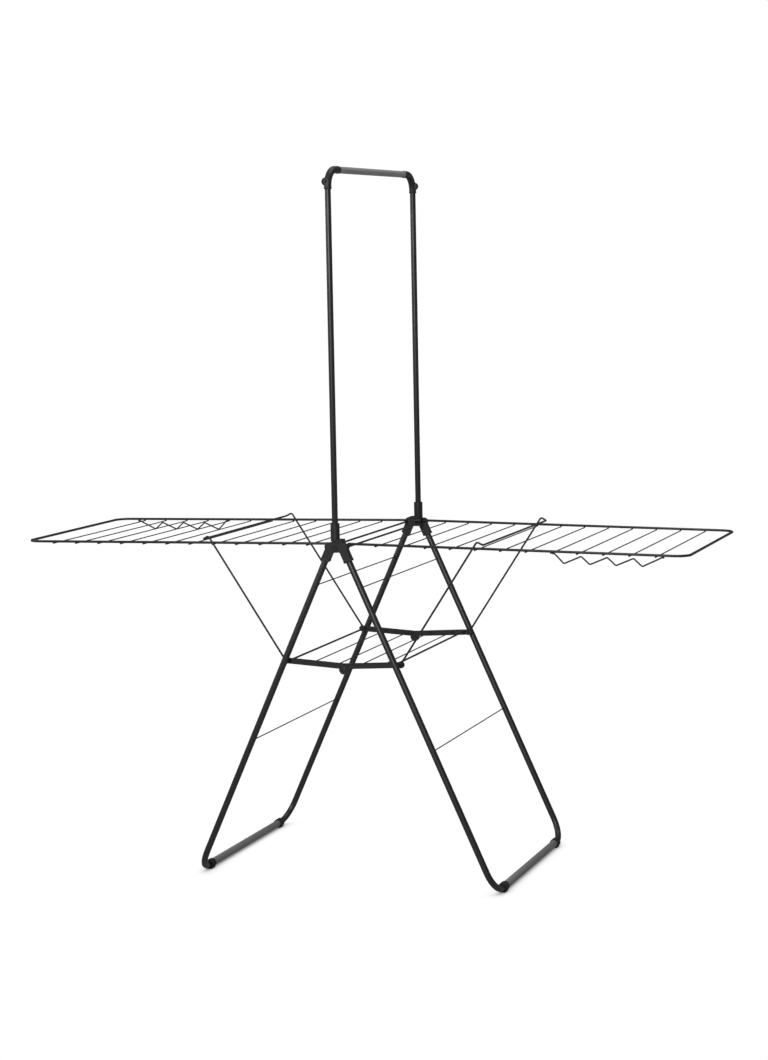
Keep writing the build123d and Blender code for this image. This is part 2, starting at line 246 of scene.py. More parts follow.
@dataclass(frozen=True)
class Finish:
    """One finish of the airer: two close tones, a roughness range, grain and lines."""

    name: str
    dark: tuple[float, float, float]
    light: tuple[float, float, float]
    rough_low: float
    rough_high: float
    grain_scale: float
    grain_depth: float
    speck: float = 0.0
    softness: float = 0.5
    line_depth: float = 0.0
    metallic: float = 0.0
    specular: float = 0.5
    coat: float = 0.0
    coat_rough: float = 0.4
    patch_scale: float = 14.0

    def make(self, groups: dict[str, bpy.types.NodeTree]) -> bpy.types.Material:
        """Builds the material.

        Args:
            groups: the shared shader groups by name.

        Returns:
            The finished material.
        """
        material = bpy.data.materials.new(self.name)
        material.use_nodes = True
        build = NodeBuilder(material.node_tree)
        place = build.add("ShaderNodeTexCoord").outputs["Object"]
        grain = build.add("ShaderNodeGroup", node_tree=groups["grain"])
        grain.inputs["Scale"].default_value = self.grain_scale
        grain.inputs["Softness"].default_value = self.softness
        patch = build.add("ShaderNodeGroup", node_tree=groups["handling"])
        patch.inputs["Scale"].default_value = self.patch_scale
        for group in (grain, patch):
            build.link(place, group.inputs["Vector"])
        tone = build.add("ShaderNodeMix", data_type="RGBA")
        tone.inputs[6].default_value = (*self.dark, 1.0)
        tone.inputs[7].default_value = (*self.light, 1.0)
        rough = build.add("ShaderNodeMapRange")
        rough.inputs["To Min"].default_value = self.rough_high
        rough.inputs["To Max"].default_value = self.rough_low
        build.link(patch.outputs["Patch"], rough.inputs["Value"])
        fleck = build.add("ShaderNodeMath", operation="MULTIPLY_ADD")
        fleck.inputs[1].default_value = self.speck
        build.link(grain.outputs["Speck"], fleck.inputs[0])
        build.link(patch.outputs["Patch"], fleck.inputs[2])
        height = grain.outputs["Height"]
        mask = fleck.outputs[0]
        if self.line_depth:
            lines = build.add("ShaderNodeGroup", node_tree=groups["drawn"])
            build.link(place, lines.inputs["Vector"])
            blend = build.add("ShaderNodeMix", data_type="FLOAT")
            blend.inputs[0].default_value = self.line_depth
            build.link(mask, blend.inputs[2])
            build.link(lines.outputs["Line"], blend.inputs[3])
            mask = blend.outputs[0]
            relief = build.add("ShaderNodeMix", data_type="FLOAT")
            relief.inputs[0].default_value = self.line_depth
            build.link(height, relief.inputs[2])
            build.link(lines.outputs["Line"], relief.inputs[3])
            height = relief.outputs[0]
        build.link(mask, tone.inputs[0])
        bump = build.add("ShaderNodeBump", Strength=0.55, Distance=self.grain_depth)
        build.link(height, bump.inputs["Height"])
        shader = build.add("ShaderNodeBsdfPrincipled", Metallic=self.metallic)
        shader.inputs["Specular IOR Level"].default_value = self.specular
        shader.inputs["Coat Weight"].default_value = self.coat
        shader.inputs["Coat Roughness"].default_value = self.coat_rough
        build.link(tone.outputs[2], shader.inputs["Base Color"])
        build.link(rough.outputs["Result"], shader.inputs["Roughness"])
        build.link(bump.outputs["Normal"], shader.inputs["Normal"])
        out = build.add("ShaderNodeOutputMaterial")
        build.link(shader.outputs[0], out.inputs["Surface"])
        return material


FINISHES: dict[Slot, Finish] = {
    Slot.TUBE: Finish("powder_coat_tube", (0.0095, 0.0095, 0.0102), (0.015, 0.015, 0.0158),
                      0.38, 0.5, 1500.0, 0.00006, speck=0.25, softness=0.35,
                      specular=0.5, coat=0.12),
    Slot.WIRE: Finish("powder_coat_wire", (0.009, 0.009, 0.0097), (0.015, 0.015, 0.0158),
                      0.4, 0.54, 1900.0, 0.00004, speck=0.2, softness=0.35, coat=0.08),
    Slot.PLASTIC: Finish("moulded_plastic", (0.0105, 0.0105, 0.011), (0.018, 0.018, 0.0188),
                         0.42, 0.58, 2600.0, 0.00005, speck=0.3, softness=0.8, specular=0.45),
    Slot.RUBBER: Finish("foot_rubber", (0.016, 0.016, 0.0165), (0.03, 0.03, 0.031), 0.66, 0.82,
                        2100.0, 0.00008, speck=0.4, softness=0.7, specular=0.3, patch_scale=40.0),
    Slot.SLEEVE: Finish("grey_foot_sleeve", (0.175, 0.175, 0.18), (0.25, 0.25, 0.258), 0.42, 0.56,
                        1800.0, 0.00004, speck=0.1, line_depth=0.6, specular=0.45),
    Slot.ROD: Finish("grey_hanging_rod", (0.23, 0.23, 0.236), (0.37, 0.37, 0.38), 0.34, 0.5,
                     1800.0, 0.00004, speck=0.1, line_depth=0.72, specular=0.5),
    Slot.STEEL: Finish("blackened_steel", (0.03, 0.03, 0.031), (0.06, 0.06, 0.062), 0.28, 0.42,
                       1400.0, 0.00003, speck=0.3, metallic=0.8, patch_scale=90.0),
}


class Wardrobe:
    """All materials of the airer, made once."""

    def __init__(self) -> None:
        """Builds the shared groups and then every finish."""
        groups = {"grain": grain_group(), "handling": handling_group(), "drawn": drawn_group()}
        self.materials = {slot: finish.make(groups) for slot, finish in FINISHES.items()}

    def dress(self, piece: bpy.types.Object, slot: Slot) -> None:
        """Gives a piece one finish in its only slot."""
        piece.data.materials.clear()
        piece.data.materials.append(self.materials[slot])

    def dress_node(self, name: str, slot: Slot) -> None:
        """Gives a carried-over node its finish through its object's slots."""
        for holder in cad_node(name).material_slots:
            holder.material = self.materials[slot]


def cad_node(name: str) -> bpy.types.Object:
    """Blender's object of a frame node."""
    return frame["nodes"][name]


# Mesh tools ----------------------------------------------------------------------------


class Bender:
    """Bends round stock as a bending machine does: straight runs and arcs."""

    def __init__(self, radius: float, start: Vector, towards: Vector, sides: int) -> None:
        """Starts a ring of the stock's section.

        Args:
            radius: radius of the stock.
            start: centre of the first end.
            towards: direction of the first run.
            sides: corners of the section.
        """
        self.mesh = bmesh.new()
        bmesh.ops.create_circle(self.mesh, cap_ends=False, segments=sides, radius=radius)
        turn = towards.to_track_quat("Z", "Y").to_matrix().to_4x4()
        place = Matrix.Translation(start) @ turn
        bmesh.ops.transform(self.mesh, matrix=place, verts=self.mesh.verts)
        self.ring = list(self.mesh.edges)

    def run(self, step: Vector) -> None:
        """Extrudes the open end straight.

        Args:
            step: how far and which way.
        """
        made = bmesh.ops.extrude_edge_only(self.mesh, edges=self.ring)["geom"]
        verts = {part for part in made if isinstance(part, bmesh.types.BMVert)}
        self.ring = [part for part in made if isinstance(part, bmesh.types.BMEdge)
                     and part.verts[0] in verts and part.verts[1] in verts]
        bmesh.ops.translate(self.mesh, vec=step, verts=list(verts))

    def arc(self, centre: Vector, axis: Vector, turn: float, steps: int) -> None:
        """Spins the open end about an axis.

        Args:
            centre: a point on the axis.
            axis: direction of the axis.
            turn: angle in radians.
            steps: segments of the arc.
        """
        verts = list({v for edge in self.ring for v in edge.verts})
        made = bmesh.ops.spin(self.mesh, geom=verts + self.ring, cent=centre, axis=axis,
                              dvec=(0, 0, 0), angle=turn, steps=steps, use_merge=False)
        self.ring = [part for part in made["geom_last"] if isinstance(part, bmesh.types.BMEdge)]


def bent_stock(points: list[Vector], radius: float, bend: float = 0.0, sides: int = 24,
               steps: int = 10, round_end: float = 0.25) -> bmesh.types.BMesh:
    """Models a bent wire or tube with closed, slightly rounded ends.

    Args:
        points: corners of the centre line.
        radius: radius of the stock.
        bend: centre-line radius at every corner.
        sides: corners of the section.
        steps: segments of each bend.
        round_end: chamfer at the ends as a share of the radius.

    Returns:
        The mesh.
    """
    bender = Bender(radius, points[0], points[1] - points[0], sides)
    here = points[0]
    for corner, after in zip(points[1:-1], points[2:]):
        way_in = (corner - here).normalized()
        way_out = (after - corner).normalized()
        turn = way_in.angle(way_out)
        cut = bend * tan(turn / 2)
        begin = corner - way_in * cut
        axis = way_in.cross(way_out).normalized()
        bender.run(begin - here)
        bender.arc(begin + axis.cross(way_in) * bend, axis, turn, steps)
        here = corner + way_out * cut
    bender.run(points[-1] - here)
    mesh = bender.mesh
    caps = bmesh.ops.holes_fill(mesh, edges=mesh.edges, sides=0)["faces"]
    rims = list({edge for face in caps for edge in face.edges})
    bmesh.ops.bevel(mesh, geom=rims, offset=radius * round_end, offset_type="OFFSET", segments=3,
                    profile=0.5, affect="EDGES", material=-1)
    bmesh.ops.recalc_face_normals(mesh, faces=mesh.faces)
    return mesh


def lathed(profile: list[tuple[float, float]], centre: Vector, axis: Vector,
           steps: int = 32) -> bmesh.types.BMesh:
    """Turns a profile round an axis.

    Args:
        profile: pairs of radius and distance along the axis.
        centre: where distance zero lies.
        axis: the axis of the turned piece.
        steps: segments round the axis.

    Returns:
        The mesh.
    """
    mesh = bmesh.new()
    verts = [mesh.verts.new((r, 0, h)) for r, h in profile]
    edges = [mesh.edges.new(pair) for pair in zip(verts, verts[1:])]
    bmesh.ops.spin(mesh, geom=verts + edges, cent=(0, 0, 0), axis=(0, 0, 1), dvec=(0, 0, 0),
                   angle=2 * pi, steps=steps, use_merge=True)
    bmesh.ops.remove_doubles(mesh, verts=mesh.verts, dist=MERGE_DISTANCE)
    turn = axis.to_track_quat("Z", "Y").to_matrix().to_4x4()
    bmesh.ops.transform(mesh, matrix=Matrix.Translation(centre) @ turn, verts=mesh.verts)
    bmesh.ops.recalc_face_normals(mesh, faces=mesh.faces)
    return mesh


def bead(centre: Vector, size: Vector) -> bmesh.types.BMesh:
    """A smooth weld bead or drip of coating.

    Args:
        centre: middle of the bead.
        size: half its length along each axis.

    Returns:
        The mesh.
    """
    mesh = bmesh.new()
    bmesh.ops.create_icosphere(mesh, subdivisions=2, radius=1.0)
    bmesh.ops.scale(mesh, vec=size, verts=mesh.verts)
    bmesh.ops.translate(mesh, vec=centre, verts=mesh.verts)
    return mesh


def joined(meshes: list[bmesh.types.BMesh]) -> bmesh.types.BMesh:
    """Puts several meshes in one.

    Args:
        meshes: the parts, which are freed.

    Returns:
        The mesh of them all.
    """
    whole = bmesh.new()
    for part in meshes:
        keep = bpy.data.meshes.new("part")
        part.to_mesh(keep)
        part.free()
        whole.from_mesh(keep)
        bpy.data.meshes.remove(keep)
    return whole


def as_piece(name: str, mesh: bmesh.types.BMesh, body: str, slot: Slot, wardrobe: Wardrobe,
             nodes: tuple[str, ...] = ()) -> bpy.types.Object:
    """Makes an object of a mesh, dresses it and hangs it on its body.

    Args:
        name: name of the piece.
        mesh: its mesh, in place, which is freed.
        body: the frame body it rides on.
        slot: its finish.
        wardrobe: the materials.
        nodes: frame nodes that it stands for.

    Returns:
        The object.
    """
    for face in mesh.faces:
        face.smooth = True
    data = bpy.data.meshes.new(name)
    mesh.to_mesh(data)
    mesh.free()
    data.set_sharp_from_angle(angle=SHARP_ANGLE)
    piece = bpy.data.objects.new(name, data)
    bpy.context.scene.collection.objects.link(piece)
    wardrobe.dress(piece, slot)
    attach(piece, body)
    if nodes:
        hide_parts(*nodes)
    LOG.info("%s: %d faces on %s", name, len(data.polygons), body)
    return piece


def moulding(node: str) -> bmesh.types.BMesh:
    """A merged copy of a frame node's mesh, ready to have its edges rounded.

    Args:
        node: name of the frame node.

    Returns:
        The mesh.
    """
    mesh = bmesh.new()
    mesh.from_mesh(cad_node(node).data)
    bmesh.ops.remove_doubles(mesh, verts=mesh.verts, dist=MERGE_DISTANCE)
    bmesh.ops.dissolve_limit(mesh, angle_limit=FLAT_ANGLE, verts=mesh.verts, edges=mesh.edges)
    return mesh


def soften(piece: bpy.types.Object, width: float) -> None:
    """Rounds a moulding's edges with a live bevel.

    Args:
        piece: the moulding.
        width: width of the bevel.
    """
    bevel = piece.modifiers.new("rounded edges", "BEVEL")
    bevel.width = width
    bevel.segments = 3
    bevel.limit_method = "ANGLE"
    bevel.angle_limit = BEVEL_ANGLE
    bevel.harden_normals = True


def middle(node: str) -> Vector:
    """Centre of a frame node's box.

    Args:
        node: name of the frame node.

    Returns:
        The centre.
    """
    low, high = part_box(node)
    return (Vector(low) + Vector(high)) / 2


def joint(name: str) -> Vector:
    """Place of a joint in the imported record.

    Args:
        name: name of the joint.

    Returns:
        A point on its axis.
    """
    row = next(j for j in frame["record"]["behaviour"]["joints"] if j["name"] == name)
    return Vector(row["pos_m"])


# Sub-assemblies ------------------------------------------------------------------------


@dataclass
class LegFrame:
    """One leg frame: bent tube, castings, grey sleeve, foot caps, tie wires and studs."""

    side: Side
    wardrobe: Wardrobe
    bend: float = 55 * MM
    sleeve_radius: float = 9.5 * MM
    casting_end: float = 85 * MM
    casting_half: Vector = field(default_factory=lambda: Vector((10.0, 9.8, 3.2)) * MM)
    collar: float = 0.7 * MM
    tube_start: float = 54 * MM
    body: str = field(init=False)

    def __post_init__(self) -> None:
        """Reads the frame's places."""
        label = self.side.label
        self.body = f"{label}_frame"
        low, high = (Vector(v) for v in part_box(f"{label}_leg_tube"))
        radius = SIZES.tube_radius
        self.near, self.far = low.y + radius, high.y - radius
        foot = middle(f"{label}_foot_sleeve")
        self.foot_x, self.foot_z = foot.x, foot.z
        upper = middle(f"{label}_leg_wire_upper")
        lower = middle(f"{label}_leg_wire_lower")
        self.slope = (lower - upper).normalized()
        self.slope.y = 0.0
        rise = high.z - radius * abs(self.slope.x) - upper.z
        self.top = upper - self.slope * (rise / -self.slope.z)

    def node(self, name: str) -> str:
        """Full name of one of this side's nodes."""
        return f"{self.side.label}_{name}"

    def tube(self) -> None:
        """Bends the leg tube."""
        top, foot = self.top, Vector((self.foot_x, 0, self.foot_z))
        points = [Vector((top.x, self.near, top.z)), Vector((foot.x, self.near, foot.z)),
                  Vector((foot.x, self.far, foot.z)), Vector((top.x, self.far, top.z))]
        mesh = bent_stock(points, SIZES.tube_radius, self.bend, sides=40, steps=20)
        as_piece(self.node("bent_leg"), mesh, self.body, Slot.TUBE, self.wardrobe,
                 (self.node("leg_tube"),))

    def tie_wires(self) -> None:
        """Makes the two tie wires with a weld bead at each end."""
        reach_near, reach_far = self.near + SIZES.tube_radius, self.far - SIZES.tube_radius
        for name in ("leg_wire_upper", "leg_wire_lower"):
            place = middle(self.node(name))
            ends = [Vector((place.x, y, place.z)) for y in (reach_near, reach_far)]
            size = Vector((2.6, 1.6, 2.6)) * MM
            mesh = joined([bent_stock(ends, SIZES.wire_radius, sides=16)]
                          + [bead(end, size) for end in ends])
            as_piece(self.node(name + "_welded"), mesh, self.body, Slot.WIRE, self.wardrobe,
                     (self.node(name),))

    def foot(self) -> None:
        """Makes the sleeve with rolled ends, and the two caps."""
        low, high = (Vector(v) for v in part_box(self.node("foot_sleeve")))
        length = high.y - low.y
        roll, inner = 0.8 * MM, SIZES.tube_radius + 0.1 * MM
        radius = self.sleeve_radius
        profile = [(inner, 0), (radius - roll, 0), (radius - roll / 4, roll / 3), (radius, roll),
                   (radius, length / 2), (radius, length - roll),
                   (radius - roll / 4, length - roll / 3), (radius - roll, length), (inner, length),
                   (inner, 0)]
        mesh = lathed(profile, Vector((self.foot_x, low.y, self.foot_z)), Vector((0, 1, 0)), 48)
        as_piece(self.node("foot_grip"), mesh, self.body, Slot.SLEEVE, self.wardrobe,
                 (self.node("foot_sleeve"),))
        caps = as_piece(self.node("foot_shoes"), moulding(self.node("foot_caps")), self.body,
                        Slot.RUBBER, self.wardrobe, (self.node("foot_caps"),))
        soften(caps, 1.2 * MM)

    def collar_at(self, y: float) -> bmesh.types.BMesh:
        """A rounded band round the lower end of a casting's sleeve.

        Args:
            y: middle of the casting across the airer.

        Returns:
            The band, in place.
        """
        mesh = bmesh.new()
        bmesh.ops.create_cube(mesh, size=2.0)
        size = self.casting_half + Vector((self.collar, self.collar, 0.0))
        bmesh.ops.scale(mesh, vec=size, verts=mesh.verts)
        bmesh.ops.bevel(mesh, geom=mesh.edges, offset=1.7 * MM, offset_type="OFFSET", segments=4,
                        profile=0.5, affect="EDGES", material=-1)
        down = self.slope * (self.casting_end - self.tube_start - self.casting_half.z)
        place = Vector((self.top.x, y, self.top.z)) + Vector((down.x, 0.0, down.z))
        turn = Matrix.Rotation(atan2(self.slope.x, self.slope.z), 4, "Y")
        bmesh.ops.transform(mesh, matrix=Matrix.Translation(place) @ turn, verts=mesh.verts)
        bmesh.ops.recalc_face_normals(mesh, faces=mesh.faces)
        return mesh

    def castings(self) -> None:
        """Rounds both castings and gives each sleeve a moulded collar."""
        for name in ("casting_outer", "casting_inner"):
            node = self.node(name)
            mesh = joined([moulding(node), self.collar_at(middle(node).y)])
            piece = as_piece(node + "_moulded", mesh, self.body, Slot.PLASTIC, self.wardrobe,
                             (node,))
            soften(piece, 1.5 * MM)

    def build(self) -> None:
        """Builds every piece of the leg frame."""
        self.tube()
        self.tie_wires()
        self.foot()
        self.castings()
        self.wardrobe.dress_node(self.node("studs"), Slot.STEEL)


@dataclass
class Wing:
    """One wing: bent rail, axle, cross wires with weld beads and the hanger zigzag."""

    side: Side
    wardrobe: Wardrobe
    zigzag_radius: float = 2.0 * MM
    corner: float = 35 * MM
    rail_start: float = 5 * MM
    wire_first: float = 90.56 * MM
    wire_pitch: float = 64.18 * MM
    wire_count: int = 12
    zigzag_first: int = 7
    zigzag_hang: float = 6.25 * MM
    zigzag_drop: float = 18.75 * MM
    zigzag_shift: float = 10.5 * MM
    zigzag_foot: float = 6 * MM
    zigzag_clear: float = 3 * MM
    zigzag_tail: float = 21 * MM
    zigzag_bend: float = 4 * MM
    bead_size: tuple[float, float, float] = (2.3 * MM, 3.4 * MM, 1.9 * MM)
    rail_bead: tuple[float, float, float] = (2.8 * MM, 3.6 * MM, 1.9 * MM)

    def __post_init__(self) -> None:
        """Reads the wing's axle and spacing from the frame."""
        self.body = f"{self.side.label}_wing"
        hinge = joint(f"{self.side.label}_wing_fold")
        self.axle = abs(hinge.x)
        low, high = (Vector(v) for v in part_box(self.node("wing_rail")))
        self.half = high.y - SIZES.rail_radius
        droop = radians(SIZES.droop)
        end = max(abs(low.x), abs(high.x)) - SIZES.rail_radius - SIZES.rail_lift * sin(droop)
        self.reach = (end - self.axle) / cos(droop)
        self.overhang = Vector(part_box(self.node("wing_wires"))[1]).y
        open_wing = (Matrix.Translation((self.axle, 0, hinge.z)) @ Matrix.Rotation(droop, 4, "Y")
                     @ Matrix.Translation((0, 0, SIZES.rail_lift)))
        turn = Matrix.Rotation(pi if self.side is Side.LEFT else 0.0, 4, "Z")
        self.place = turn @ open_wing

    def node(self, name: str) -> str:
        """Full name of one of this side's nodes."""
        return f"{self.side.label}_{name}"

    def put(self, name: str, mesh: bmesh.types.BMesh, stands_for: str) -> None:
        """Moves a mesh drawn flat into the open wing and makes a piece of it.

        Args:
            name: name of the piece, without its side.
            mesh: the mesh, level with the rails and measured from the axle.
            stands_for: the node that it replaces, without its side.
        """
        bmesh.ops.transform(mesh, matrix=self.place, verts=mesh.verts)
        as_piece(self.node(name), mesh, self.body, Slot.WIRE, self.wardrobe,
                 (self.node(stands_for),))

    def places(self) -> list[float]:
        """Distance of each cross wire from the axle."""
        return [self.wire_first - self.axle + i * self.wire_pitch for i in range(self.wire_count)]

    def rail(self) -> None:
        """Bends the rail and welds its ends to the axle."""
        start, half, end = -self.rail_start, self.half, self.reach
        points = [Vector((start, -half, 0)), Vector((end, -half, 0)), Vector((end, half, 0)),
                  Vector((start, half, 0))]
        size = Vector(self.rail_bead)
        meshes = [bent_stock(points, SIZES.rail_radius, self.corner, sides=28, steps=16)]
        meshes += [bead(Vector((0, way * half, -SIZES.rail_radius)), size) for way in (-1, 1)]
        self.put("wing_hoop", joined(meshes), "wing_rail")

    def axle_bar(self) -> None:
        """Makes the inner bar that turns in the castings."""
        low, high = (Vector(v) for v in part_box(self.node("wing_axle")))
        x, z = (low.x + high.x) / 2, (low.z + high.z) / 2
        ends = [Vector((x, low.y, z)), Vector((x, high.y, z))]
        mesh = bent_stock(ends, SIZES.axle_radius, sides=24)
        as_piece(self.node("wing_inner_bar"), mesh, self.body, Slot.WIRE, self.wardrobe,
                 (self.node("wing_axle"),))

    def cross_wires(self) -> None:
        """Makes the cross wires and their weld beads under both rails."""
        drop = SIZES.rail_radius + SIZES.wire_radius
        meshes = []
        for place in self.places():
            ends = [Vector((place, way * self.overhang, -drop)) for way in (-1, 1)]
            meshes.append(bent_stock(ends, SIZES.wire_radius, sides=14))
            weld = -SIZES.rail_radius - SIZES.wire_radius * 0.6
            meshes += [bead(Vector((place, way * self.half, weld)), Vector(self.bead_size))
                       for way in (-1, 1)]
        self.put("wing_cross_wires", joined(meshes), "wing_wires")

    def zigzag(self) -> None:
        """Bends the zigzag wire and lays its ends under the outer rail."""
        level = -(SIZES.rail_radius + self.zigzag_radius)
        top = -(SIZES.rail_radius + self.zigzag_hang)
        places = self.places()[self.zigzag_first:]
        start, end = places[0] + self.zigzag_clear, places[-1] + self.zigzag_tail
        line = [(start, level), (start + self.zigzag_foot, level)]
        for place, after in zip(places, places[1:]):
            line.append(((place + after) / 2, top - self.zigzag_drop))
            if after != places[-1]:
                line.append((after + self.zigzag_shift, top))
        line += [(end - self.zigzag_foot, level), (end, level)]
        points = [Vector((u, -self.half, z)) for u, z in line]
        mesh = bent_stock(points, self.zigzag_radius, self.zigzag_bend, sides=18, steps=8)
        self.put("wing_hanger_wire", mesh, "wing_zigzag")

    def build(self) -> None:
        """Builds every piece of the wing."""
        self.rail()
        self.axle_bar()
        self.cross_wires()
        self.zigzag()


@dataclass
class Bow:
    """The wire bow that stands beside and over one wing."""

    side: Side
    wardrobe: Wardrobe
    bend: float = 6 * MM
    gap: float = 4 * MM
    eye_radius: float = 6.5 * MM
    eye_half: float = 2.2 * MM
    bore: float = 2.45 * MM
    bow_x: float = 370 * MM
    peak_back: float = 14.6 * MM
    peak_rise: float = 8 * MM

    def build(self) -> None:
        """Bends the bow and rolls its two eyes."""
        name = f"{self.side.label}_wing_bow"
        stud = joint(f"{self.side.label}_bow_fold")
        low, high = (Vector(v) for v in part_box(name))
        arm = high.y - SIZES.bow_radius
        sign = self.side.value
        bow_z = self.height()
        peak = Vector((sign * (self.bow_x - self.peak_back), 0, bow_z + self.peak_rise))
        along = (peak - Vector((stud.x, 0, stud.z))).normalized()
        foot = Vector((stud.x, 0, stud.z)) + along * (self.bore + SIZES.bow_radius * 0.64)
        flat = [foot, peak, Vector((sign * self.bow_x, 0, bow_z))]
        near = [Vector((p.x, -arm, p.z)) for p in flat]
        far = [Vector((p.x, arm, p.z)) for p in reversed(flat)]
        meshes = [bent_stock(near + far, SIZES.bow_radius, self.bend, sides=24, steps=10)]
        meshes += [self.eye(Vector((stud.x, way * arm, stud.z))) for way in (-1, 1)]
        as_piece(f"{name}_bent", joined(meshes), f"{self.side.label}_bow", Slot.WIRE,
                 self.wardrobe, (name,))

    def height(self) -> float:
        """Height of the bar that crosses over the wing.

        Returns:
            The height above the floor, from the rails under it.
        """
        hinge = joint(f"{self.side.label}_wing_fold")
        droop = radians(SIZES.droop)
        rails = (hinge.z - (self.bow_x - abs(hinge.x)) * sin(droop)
                 + SIZES.rail_lift * cos(droop))
        return rails + SIZES.rail_radius + self.gap + SIZES.bow_radius

    def eye(self, centre: Vector) -> bmesh.types.BMesh:
        """A rolled eye with softened rims.

        Args:
            centre: middle of the eye.

        Returns:
            The eye, in place.
        """
        soft, half, rim, bore = 0.7 * MM, self.eye_half, self.eye_radius, self.bore
        profile = [(bore, -half + soft / 2), (bore + soft / 2, -half), (rim - soft, -half),
                   (rim, -half + soft), (rim, half - soft), (rim - soft, half),
                   (bore + soft / 2, half), (bore, half - soft / 2), (bore, -half + soft / 2)]
        return lathed(profile, centre, Vector((0, 1, 0)), 32)


@dataclass
class Shelf:
    """The folding shelf: four moulded bars, its wires and pivot pins."""

    wardrobe: Wardrobe
    disc_radius: float = 11 * MM
    disc_proud: float = 0.9 * MM

    def boss_disc(self, y: float, way: int) -> bmesh.types.BMesh:
        """The raised, dished disc over one pivot.

        Args:
            y: outer face of the bar.
            way: -1 on the near side, 1 on the far side.

        Returns:
            The disc, in place.
        """
        pivot = joint("right_shelf_fold")
        radius, proud = self.disc_radius, self.disc_proud
        profile = [(0, -proud), (radius, -proud), (radius, proud * 0.5),
                   (radius * 0.97, proud * 0.85), (radius * 0.93, proud), (radius * 0.8, proud),
                   (radius * 0.76, proud * 0.5), (radius * 0.3, proud * 0.5),
                   (radius * 0.26, proud * 0.8), (0, proud * 0.8)]
        return lathed(profile, Vector((0, y, pivot.z)), Vector((0, way, 0)), 40)

    def build(self) -> None:
        """Builds both leaves."""
        for side in Side:
            body = f"{side.label}_shelf"
            for name, way in (("near", -1), ("far", 1)):
                node = f"{side.label}_shelf_bar_{name}"
                mesh = moulding(node)
                if side is Side.LEFT:
                    low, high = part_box(node)
                    mesh = joined([mesh, self.boss_disc(low.y if way < 0 else high.y, way)])
                piece = as_piece(f"{node}_moulded", mesh, body, Slot.PLASTIC, self.wardrobe,
                                 (node,))
                soften(piece, 1.1 * MM)
            self.wires(side, body)
        self.wardrobe.dress_node("shelf_pivots", Slot.STEEL)

    def wires(self, side: Side, body: str) -> None:
        """Makes one leaf's wires where the frame node has its separate wires.

        Args:
            side: which leaf.
            body: the leaf's body.
        """
        node = f"{side.label}_shelf_wires"
        copy = bmesh.new()
        copy.from_mesh(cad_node(node).data)
        bmesh.ops.remove_doubles(copy, verts=copy.verts, dist=MERGE_DISTANCE)
        meshes = []
        for low, high in islands(copy):
            radius = (high.z - low.z) / 2
            x, z = (low.x + high.x) / 2, (low.z + high.z) / 2
            ends = [Vector((x, low.y, z)), Vector((x, high.y, z))]
            meshes.append(bent_stock(ends, radius, sides=18))
            size = Vector((1.5, 0.9, 1.5)) * radius
            meshes += [bead(end, size) for end in ends]
        copy.free()
        as_piece(f"{node}_set", joined(meshes), body, Slot.WIRE, self.wardrobe, (node,))


def islands(mesh: bmesh.types.BMesh) -> list[tuple[Vector, Vector]]:
    """Boxes of the separate solids in one mesh, in order of X.

    Args:
        mesh: a mesh whose doubles are merged.

    Returns:
        Lowest and highest corner of each solid.
    """
    left, found = set(mesh.verts), []
    while left:
        queue, seen = [left.pop()], set()
        while queue:
            vert = queue.pop()
            seen.add(vert)
            near = {edge.other_vert(vert) for edge in vert.link_edges} & left
            left -= near
            queue.extend(near)
        low = Vector(min(v.co[k] for v in seen) for k in range(3))
        high = Vector(max(v.co[k] for v in seen) for k in range(3))
        found.append((low, high))
    return sorted(found, key=lambda pair: pair[0].x)


@dataclass
class HingeCore:
    """Both hinge cores with the sockets of the hanging rod, pins and screws."""

    wardrobe: Wardrobe

    def build(self) -> None:
        """Rounds the cores and makes their screws."""
        for way in ("near", "far"):
            node = f"hinge_core_{way}"
            piece = as_piece(f"{node}_moulded", moulding(node), "hinge_core", Slot.PLASTIC,
                             self.wardrobe, (node,))
            soften(piece, 1.0 * MM)
            self.wardrobe.dress_node(f"hinge_pin_{way}", Slot.STEEL)
        screws = pan_screws("socket_screws", facing=-1)
        as_piece("socket_pan_screws", screws, "hinge_core", Slot.STEEL, self.wardrobe,
                 ("socket_screws",))


def pan_screws(node: str, facing: int) -> bmesh.types.BMesh:
    """Pan-head screws with a round recess, where a frame node has its plain heads.

    Args:
        node: frame node of plain screw heads on both sides of the middle.
        facing: 1 if the heads face away from the middle, -1 if they face it.

    Returns:
        The mesh of all the screws.
    """
    copy = bmesh.new()
    copy.from_mesh(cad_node(node).data)
    bmesh.ops.remove_doubles(copy, verts=copy.verts, dist=MERGE_DISTANCE)
    radius, meshes = SIZES.screw_radius, []
    for low, high in islands(copy):
        centre = (low + high) / 2
        way = Vector((0, facing if centre.y > 0 else -facing, 0))
        depth = high.y - low.y
        seat = centre - way * depth / 2
        profile = [(0, 0), (radius, 0), (radius, depth * 0.35), (radius * 0.86, depth * 0.75),
                   (radius * 0.55, depth), (radius * 0.4, depth), (radius * 0.2, depth * 0.45),
                   (0, depth * 0.45)]
        meshes.append(lathed(profile, seat, way, 28))
    copy.free()
    return joined(meshes)


